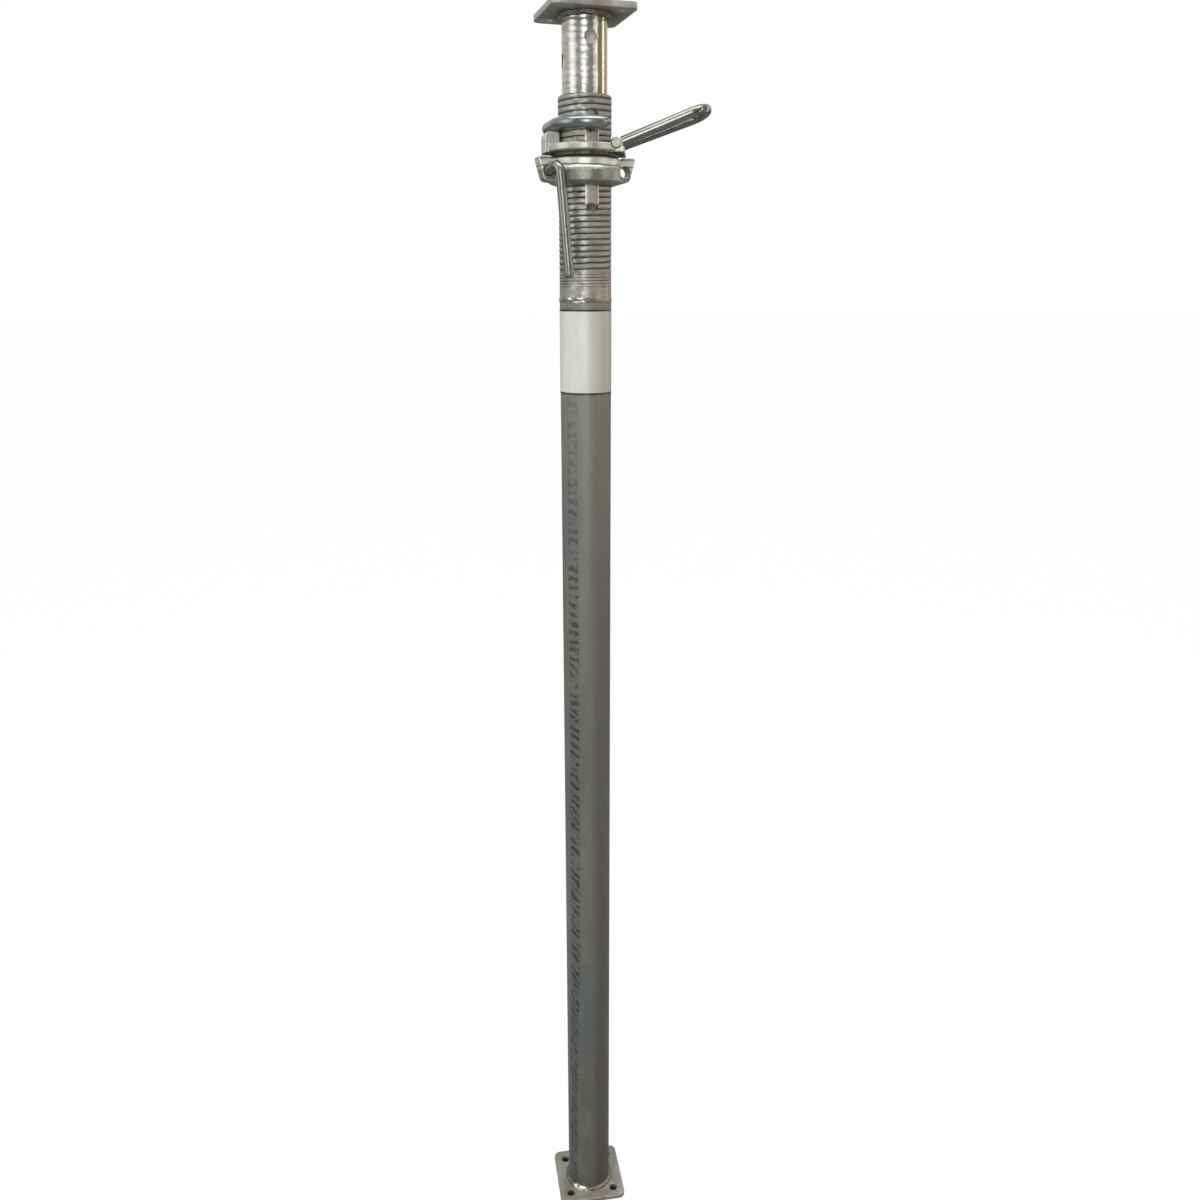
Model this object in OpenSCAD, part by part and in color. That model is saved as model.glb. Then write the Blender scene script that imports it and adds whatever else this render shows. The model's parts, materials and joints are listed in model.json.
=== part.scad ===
// Adjustable steel prop: two telescoping tubes, end plates, a threaded neck with
// a slotted wall, a G-shaped pin, a release ring with a loop handle, and a nut.
// Millimetres, +Z up, origin at the middle of the base plate's underside.

/* [End plates] */
// Side of the square plates
plate_size = 120; // [110:1:160]
// Thickness of the plates
plate_thick = 8; // [5:0.5:12]
// Radius of the plates' corners
plate_corner_r = 12; // [3:0.5:16]
// Distance between neighbouring fixing holes
fixing_pitch = 80; // [70:1:85]
// Diameter of a fixing hole
fixing_d = 14; // [8:0.5:18]
// Diameter of the drain hole in the middle of a plate
drain_d = 30; // [10:1:44]
// Turn of the base plate about the prop's axis, in degrees
base_turn = -7; // [-45:1:45]

/* [Tubes] */
// Outside diameter of the outer tube and of its threaded neck
outer_d = 76.1; // [76:0.1:80]
// Wall of the outer tube
outer_wall = 2.9; // [2.6:0.1:3.4]
// Length of the outer tube below the threaded neck
outer_len = 1615; // [1500:5:1700]
// Outside diameter of the inner tube
inner_d = 63.5; // [62:0.1:64]
// Wall of the inner tube
inner_wall = 3.6; // [2.6:0.1:5]
// Length of the inner tube
inner_len = 1868; // [1780:1:1880]
// Height of the small ring bead of a tube weld
bead_rise = 0.8; // [0.4:0.1:1.2]
// Leg of the fillet welds at the plates
fillet_leg = 6; // [3:0.5:8]

/* [Pin holes] */
// Diameter of the pin holes in the inner tube
pin_hole_d = 18; // [17:0.5:19]
// Distance between holes in one row
hole_pitch = 110; // [100:1:120]
// Distance from the tube's top to the first hole of the pin's row
first_hole = 31; // [25:1:40]
// Drop from a hole of the pin's row to the next hole of the crossing row
row_drop = 26; // [22:1:40]

/* [Neck] */
// Length of the threaded neck
neck_len = 273; // [265:1:300]
// Clearance between the neck's bore and the inner tube
guide_gap = 0.35; // [0.25:0.05:0.6]
// Width of the slot through the neck
slot_w = 19; // [18:0.5:22]
// Distance from the neck's top to the top of the slot
slot_top_gap = 20; // [14:1:24]
// Length of the slot
slot_len = 132; // [128:1:136]

/* [Adjusting nut] */
// Distance from the top of the slot down to the middle of the pin
pin_drop = 19; // [19:1:28]
// Height of the nut's body
nut_h = 37; // [34:1:38]
// Clearance between the neck and the castings that run on it
thread_gap = 0.35; // [0.25:0.05:0.5]
// Wall of the nut's upper collar
collar_wall = 11.6; // [10:0.2:13]
// Wall of the nut's lower flange
flange_wall = 15.6; // [14.5:0.2:16.4]
// Height of the lower flange
flange_h = 23; // [21:0.5:25]
// Reach of a lug beyond the nut's bore
lug_reach = 32.6; // [31:0.2:36]
// Width of a lug
lug_w = 28; // [22:1:30]
// Diameter of the hole through a lug
lug_hole_d = 15; // [14.6:0.1:16]

/* [Release ring] */
// Gap between the nut and the release ring
seam = 0.3; // [0.2:0.05:0.6]
// Wall of the ring's hub
hub_wall = 9.6; // [8:0.2:10]
// Wall of the ring's band
band_wall = 18.6; // [17:0.2:20]
// Height of the hub below the band
hub_h = 6.7; // [6.5:0.1:8]
// Height of the band
band_h = 10.5; // [9:0.5:11]
// Height of the seats that carry the pin, above the ring's underside
seat_h = 33.4; // [32:0.1:34.4]
// Width of the left ear and of the rear seat
ear_w = 24; // [20:1:26]

/* [G-shaped pin] */
// Diameter of the bent rod
hook_d = 16; // [14:0.5:16.5]
// Gap between the bent rod and the neck
hook_gap = 0.95; // [0.6:0.05:1.5]
// Length by which the pin sticks out in front of the neck
tip_reach = 10; // [6:1:11]
// Travel of the pin before its loop meets the neck
hook_play = 12; // [8:1:12]
// Angle by which the loop runs past the middle of the front
loop_past = 22; // [10:1:40]

/* [Loop handle] */
// Diameter of the handle's rod
handle_d = 15; // [11:0.5:15]
// Distance between the two legs
leg_pitch = 44; // [42:1:46]
// Distance from the pivot to the loop's end
handle_len = 132; // [110:1:150]
// Angle of the handle above level, where it rests on its lip
handle_angle = 20; // [15:1:30]
// Angle by which the handle points to the front
handle_turn = 20; // [0:1:22]
// Diameter of the handle's pin
handle_pin_d = 9; // [6:0.5:9.5]
// Clearance of a pin in its hole
pin_fit = 0.05; // [0.02:0.01:0.09]

/* [Drop rod] */
// Diameter of the drop rod
drop_d = 14; // [10:0.5:14]
// Height of the drop rod's foot above the foot of the neck
drop_foot = 32; // [28:1:60]

/* [Label] */
// Height of the blank label
label_h = 122; // [60:1:160]
// Distance from the outer tube's top down to the label
label_drop = 13; // [12:1:40]
// Thickness of the label
label_t = 0.3; // [0.2:0.1:0.5]

/* [Hidden] */
$fn = 96;

eps = 0.01;
cut = 1;
weld_gap = 0.05;
rest_gap = 0.3;
edge = 1.5;
soft_edge = 3;

// Radii of the tubes
neck_r = outer_d / 2;
outer_bore_r = neck_r - outer_wall;
inner_r = inner_d / 2;
inner_bore_r = inner_r - inner_wall;
neck_bore_r = inner_r + guide_gap;
pin_r = hook_d / 2;
pin_hole_r = pin_hole_d / 2;

// Heights from the floor up
tube_top = plate_thick + outer_len;
neck_top = tube_top + neck_len;
slot_top = neck_top - slot_top_gap;
pin_z = slot_top - pin_drop;
seat_z = pin_z - pin_r - rest_gap;
ring_z = seat_z - seat_h;
band_z = ring_z + hub_h;
band_top = band_z + band_h;
nut_z = ring_z - seam - nut_h;

// The inner tube hangs on the pin by a hole of its row, the second one or the first
// lower one that keeps the tube's foot off the base plate
foot_clear = 50;
hang = pin_hole_r - pin_r - rest_gap;
hole_top = pin_z - hang + first_hole;
pinned_hole = max(1, ceil((plate_thick + foot_clear + inner_len - hole_top) / hole_pitch));
inner_top = hole_top + pinned_hole * hole_pitch;
inner_foot = inner_top - inner_len;
row_a = [for (z = [first_hole : hole_pitch : inner_len - foot_clear]) inner_top - z];
row_b = [for (z = [first_hole + row_drop : hole_pitch : inner_len - foot_clear]) inner_top - z];
bush_h = 25;
bush_lift = 10;

// Castings on the neck
bore_r = neck_r + thread_gap;
collar_r = bore_r + collar_wall;
flange_r = bore_r + flange_wall;
lug_r = bore_r + lug_reach;
lug_hole_x = bore_r + flange_wall + 2;
lug_hole_z = nut_z + 20;
lug_top = nut_z + nut_h + 2;
pocket = 12.5;
hub_r = bore_r + hub_wall;
band_r = bore_r + band_wall;

// G-shaped pin, a flat loop in the level of its straight end
leg_x = neck_r + hook_gap + pin_r;
back_bend_r = 14;
side_bend_r = leg_x - back_bend_r;
back_y = neck_r + 20;
ear_out = leg_x + 14;

// Loop handle
handle_r = handle_d / 2;
eye_gap = 0.5;
eye_r = handle_pin_d / 2 + pin_fit;
pivot_x = bore_r + handle_r + 0.6;
pivot_z = band_top + 0.1;
leg_out = leg_pitch / 2 + handle_r + eye_gap;
leg_in = leg_pitch / 2 - handle_r - eye_gap;
cheek_t = 3.5;
cheek_r = handle_pin_d / 2 + 4;
clevis_y = leg_out + cheek_t;
clevis_z = ring_z + 4.5;
clevis_floor = 4.2;
slot_x = bore_r + 0.2;
lip_x = pivot_x + handle_r + 0.3;
lip_t = 2.7;
head_t = 3;

// Drop rod
drop_r = drop_d / 2;
drop_gap = 1;
drop_back = lug_w / 2 + 10;
drop_front = -lug_w / 2 - 12;
crook_in = 8;
crook_rise = 10;
foot_in = 21;
drop_y = -(sqrt(pow(flange_r + drop_r + drop_gap, 2) - pow(lug_hole_x - crook_in - 2, 2)));
crook_r = 9;
upset = 2.2;
foot_flare = 1;

function unit(v) = v / norm(v);
function turn(a, b) = acos(min(1, max(-1, unit(a) * unit(b))));

// Moves its children from the origin's frame to one with axes x, y, z at p
module frame_at(p, x, y, z) {
    multmatrix([[x[0], y[0], z[0], p[0]], [x[1], y[1], z[1], p[1]], [x[2], y[2], z[2], p[2]]])
        children();
}

// Round bar of radius r from a to b, or nothing where they meet
module bar(a, b, r) {
    if (norm(b - a) > eps) {
        d = unit(b - a);
        side = abs(d[2]) > 0.9 ? [1, 0, 0] : [0, 0, 1];
        x = unit(cross(side, d));
        frame_at(a, x, cross(d, x), d)
            cylinder(r = r, h = norm(b - a));
    }
}

// Bend of a round bar at corner p, from direction a to direction b
module bend(p, a, b, bend_r, r) {
    angle = turn(a, b);
    centre = p + unit(b - a) * bend_r / cos(angle / 2);
    start = p - a * bend_r * tan(angle / 2);
    frame_at(centre, unit(start - centre), a, unit(cross(a, b)))
        rotate_extrude(angle = angle)
            translate([bend_r, 0])
                circle(r);
}

// Round bar along the corners in path, each inner corner bent to its radius
module bent_bar(path, bends, r) {
    last = len(path) - 1;
    dirs = [for (i = [0 : last - 1]) unit(path[i + 1] - path[i])];
    cuts = [for (i = [0 : last])
        i == 0 || i == last ? 0 : bends[i - 1] * tan(turn(dirs[i - 1], dirs[i]) / 2)];
    for (i = [0 : last - 1])
        bar(path[i] + dirs[i] * cuts[i], path[i + 1] - dirs[i] * cuts[i + 1], r);
    for (i = [1 : last - 1])
        bend(path[i], dirs[i - 1], dirs[i], bends[i - 1], r);
}

// Rings of a bend at corner p: each is a point, a direction and a radius
function bend_rings(p, a, b, bend_r, r, steps) =
    let (
        angle = turn(a, b),
        centre = p + unit(b - a) * bend_r / cos(angle / 2),
        start = p - a * bend_r * tan(angle / 2),
        x = unit(start - centre)
    )
    [for (i = [0 : steps])
        let (t = angle * i / steps)
        [centre + bend_r * (x * cos(t) + a * sin(t)), a * cos(t) - x * sin(t), r]];

// Bar swept along rings that never run along X
module sweep(rings, sides) {
    last = len(rings) - 1;
    points = [for (ring = rings)
        let (u = unit(cross(ring[1], [1, 0, 0])), v = cross(ring[1], u))
        for (k = [0 : sides - 1])
            ring[0] + ring[2] * (u * cos(360 * k / sides) + v * sin(360 * k / sides))];
    walls = [for (i = [0 : last - 1], k = [0 : sides - 1])
        let (next = (k + 1) % sides)
        [i * sides + k, (i + 1) * sides + k, (i + 1) * sides + next, i * sides + next]];
    polyhedron(points, concat(
        walls,
        [[for (k = [0 : sides - 1]) k]],
        [[for (k = [sides - 1 : -1 : 0]) last * sides + k]]
    ));
}

// Upright tube from z0 to z1
module pipe(r_out, r_in, z0, z1) {
    translate([0, 0, z0])
        rotate_extrude()
            translate([r_in, 0])
                square([r_out - r_in, z1 - z0]);
}

// Outline in X and Z, as thick as w along Y and centred on Y = y
module upright(w, y = 0) {
    translate([0, y + w / 2, 0])
        rotate([90, 0, 0])
            linear_extrude(w)
                children();
}

// Round hole along Y through the whole casting
module cross_hole(x, z, r) {
    translate([x, band_r * 2, z])
        rotate([90, 0, 0])
            cylinder(r = r, h = band_r * 4);
}

// Square plate with round corners, four fixing holes and a drain hole
module end_plate() {
    inset = plate_size / 2 - plate_corner_r;
    difference() {
        union() {
            translate([-plate_size / 2, -inset, 0])
                cube([plate_size, 2 * inset, plate_thick]);
            translate([-inset, -plate_size / 2, 0])
                cube([2 * inset, plate_size, plate_thick]);
            for (x = [-inset, inset], y = [-inset, inset])
                translate([x, y, 0])
                    cylinder(r = plate_corner_r, h = plate_thick);
        }
        for (x = [-1, 1], y = [-1, 1])
            translate([x * fixing_pitch / 2, y * fixing_pitch / 2, -cut])
                cylinder(d = fixing_d, h = plate_thick + 2 * cut);
        translate([0, 0, -cut])
            cylinder(d = drain_d, h = plate_thick + 2 * cut);
    }
}

// Ring of fillet weld round a tube of radius r, standing on the level z
module fillet_weld(r, z, up) {
    throat = fillet_leg * 0.42;
    translate([0, 0, z])
        stand_or_hang(up)
            rotate_extrude()
                polygon([
                    [r + weld_gap, 0],
                    [r + fillet_leg, 0],
                    [r + fillet_leg - 0.4, 1],
                    [r + throat + 0.4, throat + 0.4],
                    [r + 1, fillet_leg - 0.4],
                    [r + weld_gap, fillet_leg],
                ]);
}

// Keeps its children upright, or turns them upside down
module stand_or_hang(up) {
    if (up)
        children();
    else
        mirror([0, 0, 1])
            children();
}

module base_plate() {
    color("dimgray")
        rotate(base_turn)
            end_plate();
}

module base_weld() {
    color("silver")
        fillet_weld(neck_r, plate_thick, true);
}

module outer_tube() {
    color("darkgray")
        pipe(neck_r, outer_bore_r, plate_thick, tube_top);
}

module neck_weld() {
    half = 3.5;
    color("silver")
        translate([0, 0, tube_top])
            rotate_extrude()
                polygon([
                    [neck_r + weld_gap, -half],
                    [neck_r + bead_rise / 2, -half * 0.8],
                    [neck_r + bead_rise, -half * 0.3],
                    [neck_r + bead_rise, half * 0.3],
                    [neck_r + bead_rise / 2, half * 0.8],
                    [neck_r + weld_gap, half],
                ]);
}

// Slot through both walls of the neck, with round ends
module slot_cutter() {
    w = slot_w / 2;
    for (z = [slot_top - w, slot_top - slot_len + w])
        cross_hole(0, z, w);
    translate([-w, -band_r, slot_top - slot_len + w])
        cube([slot_w, 2 * band_r, slot_len - slot_w]);
}

module threaded_neck() {
    color("gray")
        difference() {
            translate([0, 0, tube_top])
                rotate_extrude()
                    polygon([
                        [neck_bore_r, 0],
                        [neck_r, 0],
                        [neck_r, neck_len - edge],
                        [neck_r - edge, neck_len],
                        [neck_bore_r, neck_len],
                    ]);
            slot_cutter();
        }
}

module label_band() {
    r = neck_r + weld_gap;
    top = tube_top - label_drop;
    color("white")
        pipe(r + label_t, r, top - label_h, top);
}

module inner_tube() {
    color("gainsboro")
        difference() {
            pipe(inner_r, inner_bore_r, inner_foot, inner_top);
            for (z = row_a)
                translate([0, 0, z])
                    rotate([90, 0, 0])
                        cylinder(r = pin_hole_r, h = inner_d + cut, center = true);
            for (z = row_b)
                translate([0, 0, z])
                    rotate([0, 90, 0])
                        cylinder(r = pin_hole_r, h = inner_d + cut, center = true);
        }
}

// Collar at the foot of the inner tube: it runs in the outer tube and stops below the neck
module tail_bush() {
    run = outer_bore_r - rest_gap;
    z = inner_foot + bush_lift;
    color("gray")
        translate([0, 0, z])
            rotate_extrude()
                polygon([
                    [inner_r + weld_gap, 0],
                    [run - edge, 0],
                    [run, edge],
                    [run, bush_h - edge],
                    [run - edge, bush_h],
                    [inner_r + weld_gap, bush_h],
                ]);
}

module head_weld() {
    color("silver")
        fillet_weld(inner_r, inner_top, false);
}

module head_plate() {
    color("dimgray")
        translate([0, 0, inner_top])
            end_plate();
}

module g_hook() {
    tip = -(neck_r + tip_reach);
    tip_chamfer = 3;
    nose_r = pin_r - 1.5;
    nose_turn = 3;
    color("lightslategray")
        translate([0, 0, pin_z]) {
            translate([0, tip, 0])
                rotate([-90, 0, 0])
                    cylinder(r1 = pin_r - tip_chamfer / 2, r2 = pin_r, h = tip_chamfer);
            bent_bar(
                [[0, tip + tip_chamfer, 0], [0, back_y, 0], [-leg_x, back_y, 0], [-leg_x, -hook_play, 0]],
                [back_bend_r, side_bend_r], pin_r);
            translate([0, -hook_play, 0])
                rotate(180) {
                    front_loop(90 + loop_past, pin_r);
                    front_loop(90 + loop_past + nose_turn, nose_r);
                }
        }
}

// Round bar of radius r bent about the neck from the pin's side
module front_loop(angle, r) {
    rotate_extrude(angle = angle)
        translate([leg_x, 0])
            circle(r);
}

// Body of the release ring: a hub with a wider band on top
module ring_body() {
    translate([0, 0, ring_z])
        rotate_extrude()
            polygon([
                [bore_r, 0],
                [hub_r - edge, 0],
                [hub_r, edge],
                [hub_r, hub_h],
                [band_r - soft_edge, hub_h],
                [band_r, hub_h + edge],
                [band_r, hub_h + band_h - edge],
                [band_r - edge, hub_h + band_h],
                [bore_r + edge, hub_h + band_h],
                [bore_r, hub_h + band_h - edge],
            ]);
}

// Upright ear on the left, which carries the side of the bent pin
module left_ear() {
    round_r = 8;
    root_x = bore_r + edge + 2;
    foot = band_z - 2.5;
    upright(ear_w)
        union() {
            translate([-ear_out + round_r, seat_z - round_r])
                circle(round_r);
            translate([-ear_out, foot])
                square([ear_out - root_x, seat_z - round_r - foot]);
            translate([-ear_out + round_r, foot])
                square([ear_out - round_r - root_x + 2, seat_z - foot]);
        }
}

// Seat behind the neck, under the pin's rear end
module rear_seat() {
    seat_w = hook_d + 4;
    translate([-seat_w / 2, bore_r + 1, band_z])
        cube([seat_w, hub_wall + 1, seat_z - band_z]);
}

// Clevis on the right: two cheeks, a knuckle between the legs, a floor and a lip
module clevis_body() {
    for (y = [-1, 1])
        upright(cheek_t, y * (leg_out + cheek_t / 2))
            clevis_side();
    upright(2 * leg_in)
        clevis_side();
    translate([bore_r - 2, -clevis_y, clevis_z])
        cube([lip_x + lip_t - bore_r + 2, 2 * clevis_y, clevis_floor]);
    upright(2 * clevis_y)
        lip_outline();
}

module clevis_side() {
    translate([pivot_x, pivot_z])
        circle(cheek_r);
    translate([bore_r - 2, clevis_z])
        square([pivot_x + cheek_r - bore_r + 2, pivot_z - clevis_z]);
}

// Height just under the resting legs at x, where the lip ends
function leg_under(x) =
    pivot_z + (x - pivot_x) * tan(handle_angle) - handle_r / cos(handle_angle) - rest_gap;

module lip_outline() {
    x1 = lip_x + lip_t;
    polygon([[lip_x, clevis_z], [x1, clevis_z], [x1, leg_under(x1)], [lip_x, leg_under(lip_x)]]);
}

// Room in the band for the handle's legs, down to the clevis's floor and over the lip
module leg_slots() {
    floor_z = clevis_z + clevis_floor;
    top = floor_z + 2 * band_h;
    for (y = [-1, 1])
        upright(handle_d + 2 * eye_gap, y * leg_pitch / 2)
            polygon([
                [slot_x, floor_z],
                [lip_x, floor_z],
                [lip_x, leg_under(lip_x)],
                [band_r, leg_under(band_r)],
                [band_r, top],
                [slot_x, top],
            ]);
}

// Turns the clevis and the handle from the neck's right towards the front
module turned() {
    rotate(-handle_turn)
        children();
}

// Flats on the band under the heads of the handle's pin
module spot_faces() {
    for (y = [clevis_y, -clevis_y - band_r])
        translate([pivot_x, y + band_r, pivot_z])
            rotate([90, 0, 0])
                cylinder(r = handle_pin_d / 2 + head_t + rest_gap, h = band_r);
}

module release_ring() {
    color("darkkhaki")
        difference() {
            union() {
                ring_body();
                left_ear();
                rear_seat();
                difference() {
                    turned()
                        clevis_body();
                    translate([0, 0, ring_z])
                        cylinder(r = bore_r + edge, h = seat_h);
                }
            }
            turned() {
                leg_slots();
                cross_hole(pivot_x, pivot_z, eye_r);
                spot_faces();
            }
        }
}

module handle_pin() {
    r = handle_pin_d / 2;
    half = clevis_y + head_t;
    color("silver")
        turned()
            translate([pivot_x, half, pivot_z])
                rotate([90, 0, 0])
                    rotate_extrude()
                        polygon([
                            [0, 0],
                            [r + 1.5, 0],
                            [r + 3, edge],
                            [r + 3, head_t],
                            [r, head_t],
                            [r, 2 * half - head_t],
                            [r + 3, 2 * half - head_t],
                            [r + 3, 2 * half - edge],
                            [r + 1.5, 2 * half],
                            [0, 2 * half],
                        ]);
}

module handle_loop() {
    y = leg_pitch / 2;
    color("slategray")
        turned()
            translate([pivot_x, 0, pivot_z])
                rotate([0, -handle_angle, 0])
                    difference() {
                        union() {
                            bent_bar([[0, -y, 0], [handle_len, -y, 0], [handle_len, y, 0], [0, y, 0]],
                                [y, y], handle_r);
                            for (side = [-y, y])
                                translate([0, side, 0])
                                    rotate([90, 0, 0])
                                        cylinder(r = handle_r, h = handle_d, center = true);
                        }
                        rotate([90, 0, 0])
                            cylinder(r = eye_r, h = leg_pitch + 2 * handle_d, center = true);
                    }
}

// Lug of the nut, wide at the top and rounded off below
module lug_outline() {
    foot_r = 9;
    shoulder = lug_r - 7;
    translate([shoulder - foot_r, nut_z + foot_r + 2])
        circle(foot_r);
    polygon([
        [bore_r + 4, nut_z + 2],
        [shoulder - foot_r, nut_z + 2],
        [shoulder, nut_z + foot_r + 2],
        [lug_r, lug_top - soft_edge],
        [lug_r - soft_edge / 2, lug_top],
        [collar_r + 2, lug_top],
        [collar_r + 2, nut_z + nut_h],
        [bore_r + 4, nut_z + nut_h],
    ]);
}

// Pockets beside a lug, where its cross hole comes out of the flange
module lug_pockets() {
    x0 = lug_hole_x - pocket;
    for (side = [-1, 1])
        translate([x0, side > 0 ? lug_w / 2 : -lug_w / 2 - flange_r, lug_hole_z - pocket])
            cube([flange_r, flange_r, 2 * pocket]);
}

module adjusting_nut() {
    color("darkgray")
        difference() {
            union() {
                translate([0, 0, nut_z])
                    rotate_extrude()
                        polygon([
                            [bore_r, 0],
                            [flange_r - soft_edge, 0],
                            [flange_r, soft_edge],
                            [flange_r, flange_h - soft_edge],
                            [collar_r, flange_h + 2],
                            [collar_r, nut_h - edge],
                            [collar_r - edge, nut_h],
                            [bore_r, nut_h],
                        ]);
                upright(lug_w)
                    lug_outline();
                mirror([1, 0, 0])
                    upright(lug_w)
                        lug_outline();
            }
            for (side = [0, 1])
                mirror([side, 0, 0]) {
                    lug_pockets();
                    cross_hole(lug_hole_x, lug_hole_z, lug_hole_d / 2);
                }
        }
}

// Rod with an upset rear end, hooked through the left lug and hanging down in front
module drop_rod() {
    crook_steps = 7;
    sides = 20;
    head_r = drop_r + upset;
    foot_r = drop_r + foot_flare;
    x = -lug_hole_x;
    z = lug_hole_z - (lug_hole_d / 2 - drop_r - rest_gap);
    corner = [x, drop_front, z];
    crook = [x + crook_in, drop_y, lug_hole_z + crook_rise];
    foot = [x + foot_in, drop_y, tube_top + drop_foot];
    out = [0, -1, 0];
    over = unit(crook - corner);
    down = unit(foot - crook);
    start = corner - out * crook_r * tan(turn(out, over) / 2);
    color("silver") {
        bar([x, drop_back, z], start, drop_r);
        bar([x, lug_w / 2 + rest_gap, z], [x, drop_back - edge, z], head_r);
        sweep(concat(
            bend_rings(corner, out, over, crook_r, drop_r, crook_steps),
            bend_rings(crook, over, down, crook_r, drop_r, 2 * crook_steps),
            [
                [foot - down * 5 * foot_flare, down, drop_r],
                [foot - down * 2 * foot_flare, down, foot_r],
                [foot, down, foot_r],
            ]
        ), sides);
    }
}

base_plate();
base_weld();
outer_tube();
neck_weld();
threaded_neck();
label_band();
inner_tube();
tail_bush();
head_weld();
head_plate();
g_hook();
release_ring();
handle_pin();
handle_loop();
adjusting_nut();
drop_rod();
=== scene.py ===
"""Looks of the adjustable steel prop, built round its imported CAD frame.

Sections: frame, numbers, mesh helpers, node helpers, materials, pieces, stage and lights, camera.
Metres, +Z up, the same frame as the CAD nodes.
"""

import json
import math

import bmesh
import bpy
from mathutils import Matrix, Vector, noise


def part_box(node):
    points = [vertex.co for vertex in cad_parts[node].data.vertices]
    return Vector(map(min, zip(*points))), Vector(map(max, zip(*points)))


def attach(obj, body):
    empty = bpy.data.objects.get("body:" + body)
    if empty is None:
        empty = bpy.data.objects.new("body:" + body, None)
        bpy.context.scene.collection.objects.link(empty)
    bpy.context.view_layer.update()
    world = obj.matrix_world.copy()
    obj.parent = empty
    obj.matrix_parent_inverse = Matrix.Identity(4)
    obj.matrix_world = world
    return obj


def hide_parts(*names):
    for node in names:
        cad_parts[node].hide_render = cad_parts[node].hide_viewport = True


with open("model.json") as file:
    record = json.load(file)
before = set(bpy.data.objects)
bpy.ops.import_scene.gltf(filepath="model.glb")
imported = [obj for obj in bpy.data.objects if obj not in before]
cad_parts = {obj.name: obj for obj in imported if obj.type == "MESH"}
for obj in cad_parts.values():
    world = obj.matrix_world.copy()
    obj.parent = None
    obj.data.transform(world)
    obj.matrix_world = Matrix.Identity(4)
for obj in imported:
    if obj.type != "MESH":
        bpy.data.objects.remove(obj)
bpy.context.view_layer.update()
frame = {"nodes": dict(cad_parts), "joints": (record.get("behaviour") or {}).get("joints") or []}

# ---------------------------------------------------------------- numbers

MM = 0.001
NODES = frame["nodes"]
JOINTS = {j["name"]: j for j in frame["joints"]}

NECK_LO, NECK_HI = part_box("threaded_neck")
HOOK_LO, HOOK_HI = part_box("g_hook")
NUT_LO, NUT_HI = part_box("adjusting_nut")
LABEL_LO, LABEL_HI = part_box("label_band")
ROD_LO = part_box("drop_rod")[0]
RING_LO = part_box("release_ring")[0]
BASE_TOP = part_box("base_plate")[1].z
HEAD_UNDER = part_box("head_plate")[0].z

TUBE_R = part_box("outer_tube")[1].x
INNER_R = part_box("inner_tube")[1].x
NECK_R = NECK_HI.x
NECK_BORE_R = 32.1 * MM
NECK_CHAMFER = 1.5 * MM
THREAD_PITCH = 8 * MM
THREAD_DEPTH = 1.5 * MM
THREAD_FOOT = NECK_LO.z + 35 * MM
THREAD_FADE = 7 * MM
RIPPLE_PITCH = 4.2 * MM
RIPPLE_DEPTH = 0.62 * MM
RIPPLE_SPAN = 12 * MM
SLOT_HALF = 9.5 * MM
SLOT_TOP = NECK_HI.z - 20 * MM
SLOT_FOOT = SLOT_TOP - 132 * MM
TUBE_LOOKS_TOP = 1.62
PLATE_TURN = math.radians(7)
PLATE_HALF = 59 * MM
LAMPS_AIM = 1.2

ROD_STEP = 3 * MM
DOME_STEPS = 7
BEAD_POINTS = 9

# places round the prop in turns: 0 on the left, 0.25 in front, 0.5 on the right
MARKS_AT = 0.112
WELD_GLINT_AT = 0.155
GLINT_AT = 0.165
REFLECTION_TINT_AT = 0.385
BROWN_SHADE_AT = 0.40


# ---------------------------------------------------------------- mesh helpers


def add_piece(name, verts, faces, smooth_angle=None):
    """A new mesh object at the origin, shaded smoothly where its edges are flatter than smooth_angle."""
    mesh = bpy.data.meshes.new(name)
    mesh.from_pydata([tuple(v) for v in verts], [], faces)
    mesh.validate()
    obj = bpy.data.objects.new(name, mesh)
    bpy.context.scene.collection.objects.link(obj)
    fix_normals(obj)
    if smooth_angle is not None:
        shade(obj, smooth_angle)
    return obj


def fix_normals(obj):
    bm = bmesh.new()
    bm.from_mesh(obj.data)
    bmesh.ops.recalc_face_normals(bm, faces=bm.faces)
    bm.to_mesh(obj.data)
    bm.free()


def shade(obj, angle):
    """Smooth shading, with edges sharper than angle degrees kept sharp."""
    mesh = obj.data
    for polygon in mesh.polygons:
        polygon.use_smooth = True
    bm = bmesh.new()
    bm.from_mesh(mesh)
    limit = math.radians(angle)
    for e in bm.edges:
        e.smooth = len(e.link_faces) != 2 or e.calc_face_angle(0.0) < limit
    bm.to_mesh(mesh)
    bm.free()


def apply_modifiers(obj):
    """Puts what the modifiers make into the mesh itself."""
    graph = bpy.context.evaluated_depsgraph_get()
    mesh = bpy.data.meshes.new_from_object(obj.evaluated_get(graph))
    obj.modifiers.clear()
    old = obj.data
    obj.data = mesh
    bpy.data.meshes.remove(old)


def copy_of(node, name):
    """A welded copy of a CAD node's mesh as a piece of its own."""
    obj = bpy.data.objects.new(name, NODES[node].data.copy())
    bpy.context.scene.collection.objects.link(obj)
    bm = bmesh.new()
    bm.from_mesh(obj.data)
    bmesh.ops.remove_doubles(bm, verts=bm.verts, dist=2e-6)
    bmesh.ops.dissolve_limit(bm, angle_limit=math.radians(0.5), verts=bm.verts, edges=bm.edges)
    bm.to_mesh(obj.data)
    bm.free()
    return obj


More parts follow.
